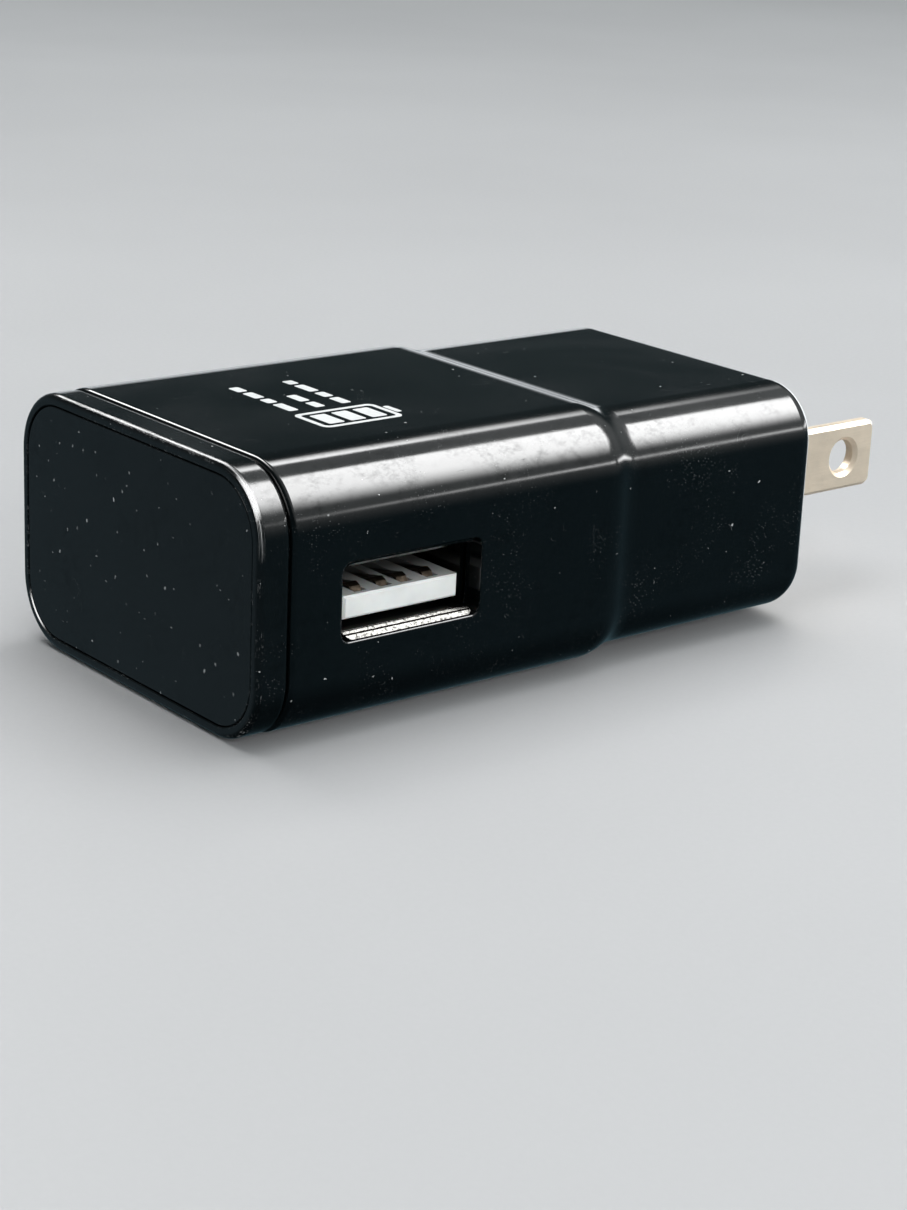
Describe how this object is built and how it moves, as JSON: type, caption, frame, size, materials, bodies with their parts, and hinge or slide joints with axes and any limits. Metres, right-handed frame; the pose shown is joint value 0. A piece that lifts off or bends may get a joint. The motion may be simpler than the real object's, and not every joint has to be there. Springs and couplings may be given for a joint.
{
  "type": "usb wall charger",
  "caption": "Compact mains charger: rounded block with a stepped plug end, inset end plate, fixed flat blades and a USB type A port in one long side.",
  "frame": {"origin": "centre of the plug face, midway between the blades", "axes": "+X out along the blades, -Y out of the USB port, +Z out of the printed face"},
  "size_m": [0.0772, 0.0342, 0.0218],
  "materials": {
    "housing_black": "polished, faint handling marks",
    "plate_black": "polished plate",
    "adhesive_film": "clear film",
    "nickel_plate": "nickel plated brass, satin",
    "carrier_black": "moulded, satin",
    "clip_bronze": "phosphor bronze, tinned",
    "shell_steel": "nickel plated sheet",
    "insulator_white": "moulded, satin",
    "contact_gold": "gold flashed bronze",
    "ferrite": "sintered, dull",
    "bobbin_black": "moulded, satin",
    "tinned_wire": "tinned copper wire",
    "copper_wire": "enamelled copper",
    "yellow_tape": "polyester tape",
    "can_aluminium": "drawn, satin",
    "sleeve_dark": "shrunk sleeve",
    "bung_rubber": "moulded",
    "choke_ferrite": "sintered, dull",
    "sleeve_clear": "shrunk sleeve",
    "resistor_enamel": "dipped enamel",
    "disc_blue": "dipped epoxy",
    "package_black": "moulded epoxy",
    "lead_tin": "tinned",
    "chip_resistor_black": "printed film on alumina",
    "chip_capacitor_tan": "fired",
    "diode_black": "moulded epoxy",
    "board_green": "lacquered glass epoxy",
    "solder": "bright solder",
    "barrier_sheet": "pressed insulating sheet",
    "film_white": "polyester film"
  },
  "bodies": {
    "charger": {"main_housing": "housing_black", "end_cap": "housing_black", "end_plate": "plate_black", "plate_adhesive": "adhesive_film", "line_blade": "nickel_plate", "neutral_blade": "nickel_plate", "blade_carrier": "carrier_black", "line_clip": "clip_bronze", "neutral_clip": "clip_bronze", "usb_shell": "shell_steel", "usb_insulator": "insulator_white", "usb_contact_tails": "contact_gold", "core_half_plug_end": "ferrite", "core_half_cap_end": "ferrite", "transformer_bobbin": "bobbin_black", "transformer_pins": "tinned_wire", "primary_winding": "copper_wire", "secondary_winding": "copper_wire", "winding_tape": "yellow_tape", "core_tape": "yellow_tape", "bulk_capacitor_cans": "can_aluminium", "bulk_capacitor_sleeves": "sleeve_dark", "bulk_capacitor_bungs": "bung_rubber", "bulk_capacitor_leads": "tinned_wire", "output_capacitor_cans": "can_aluminium", "output_capacitor_bungs": "bung_rubber", "input_choke": "choke_ferrite", "choke_sleeve": "sleeve_clear", "fusible_resistor": "resistor_enamel", "resistor_sleeve": "sleeve_clear", "y_capacitor": "disc_blue", "component_leads": "tinned_wire", "package_leads": "lead_tin", "chip_resistors": "chip_resistor_black", "chip_capacitors": "chip_capacitor_tan", "snubber_diodes": "diode_black", "isolation_barrier": "barrier_sheet", "insulation_sheet": "film_white", "primary_controller": "package_black", "protocol_controller": "package_black", "bridge_rectifier": "package_black", "primary_switch": "package_black", "output_rectifier": "package_black", "main_board": "board_green", "solder_joints": "solder"},
    "contact_ground": {"contact_spring_ground": "contact_gold"},
    "contact_data_plus": {"contact_spring_data_plus": "contact_gold"},
    "contact_data_minus": {"contact_spring_data_minus": "contact_gold"},
    "contact_power": {"contact_spring_power": "contact_gold"}
  },
  "joints": [
    {"name": "contact_ground_flex", "type": "hinge", "parent": "charger", "child": "contact_ground", "pos_m": [-0.04815, -0.006, -0.0011], "axis": [1, 0, 0], "range_deg": [0, 2.7]},
    {"name": "contact_data_plus_flex", "type": "hinge", "parent": "charger", "child": "contact_data_plus", "pos_m": [-0.04565, -0.006, -0.0011], "axis": [1, 0, 0], "range_deg": [0, 2.7]},
    {"name": "contact_data_minus_flex", "type": "hinge", "parent": "charger", "child": "contact_data_minus", "pos_m": [-0.04365, -0.006, -0.0011], "axis": [1, 0, 0], "range_deg": [0, 2.7]},
    {"name": "contact_power_flex", "type": "hinge", "parent": "charger", "child": "contact_power", "pos_m": [-0.04115, -0.006, -0.0011], "axis": [1, 0, 0], "range_deg": [0, 2.7]}
  ]
}
